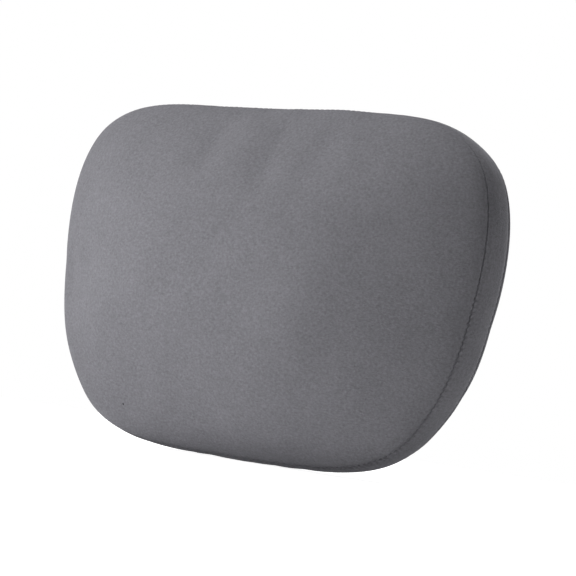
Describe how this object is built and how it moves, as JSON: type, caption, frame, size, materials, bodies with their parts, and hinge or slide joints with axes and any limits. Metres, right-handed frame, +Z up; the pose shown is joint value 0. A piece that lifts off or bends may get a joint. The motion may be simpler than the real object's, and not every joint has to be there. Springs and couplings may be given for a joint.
{
  "type": "car neck pillow",
  "caption": "Boxed head and neck cushion for a car seat: domed front, side band, flat back and an elastic strap that holds it to the headrest.",
  "frame": {"origin": "middle of the flat of the back, which lies on the headrest", "axes": "+Z up as it is worn on the seat, -Y the domed front that the head rests on, +X across its width"},
  "size_m": [0.364, 0.1007, 0.264],
  "materials": {
    "cover_suede": "cool grey brushed suede with a short soft nap",
    "stuffing_fibre": "white fibre filling, never seen",
    "strap_elastic": "dark woven elastic with fine ribs across it"
  },
  "bodies": {
    "root": {"front_panel": "cover_suede", "side_band": "cover_suede", "back_panel": "cover_suede", "stuffing": "stuffing_fibre", "headrest_strap": "strap_elastic"}
  },
  "joints": []
}
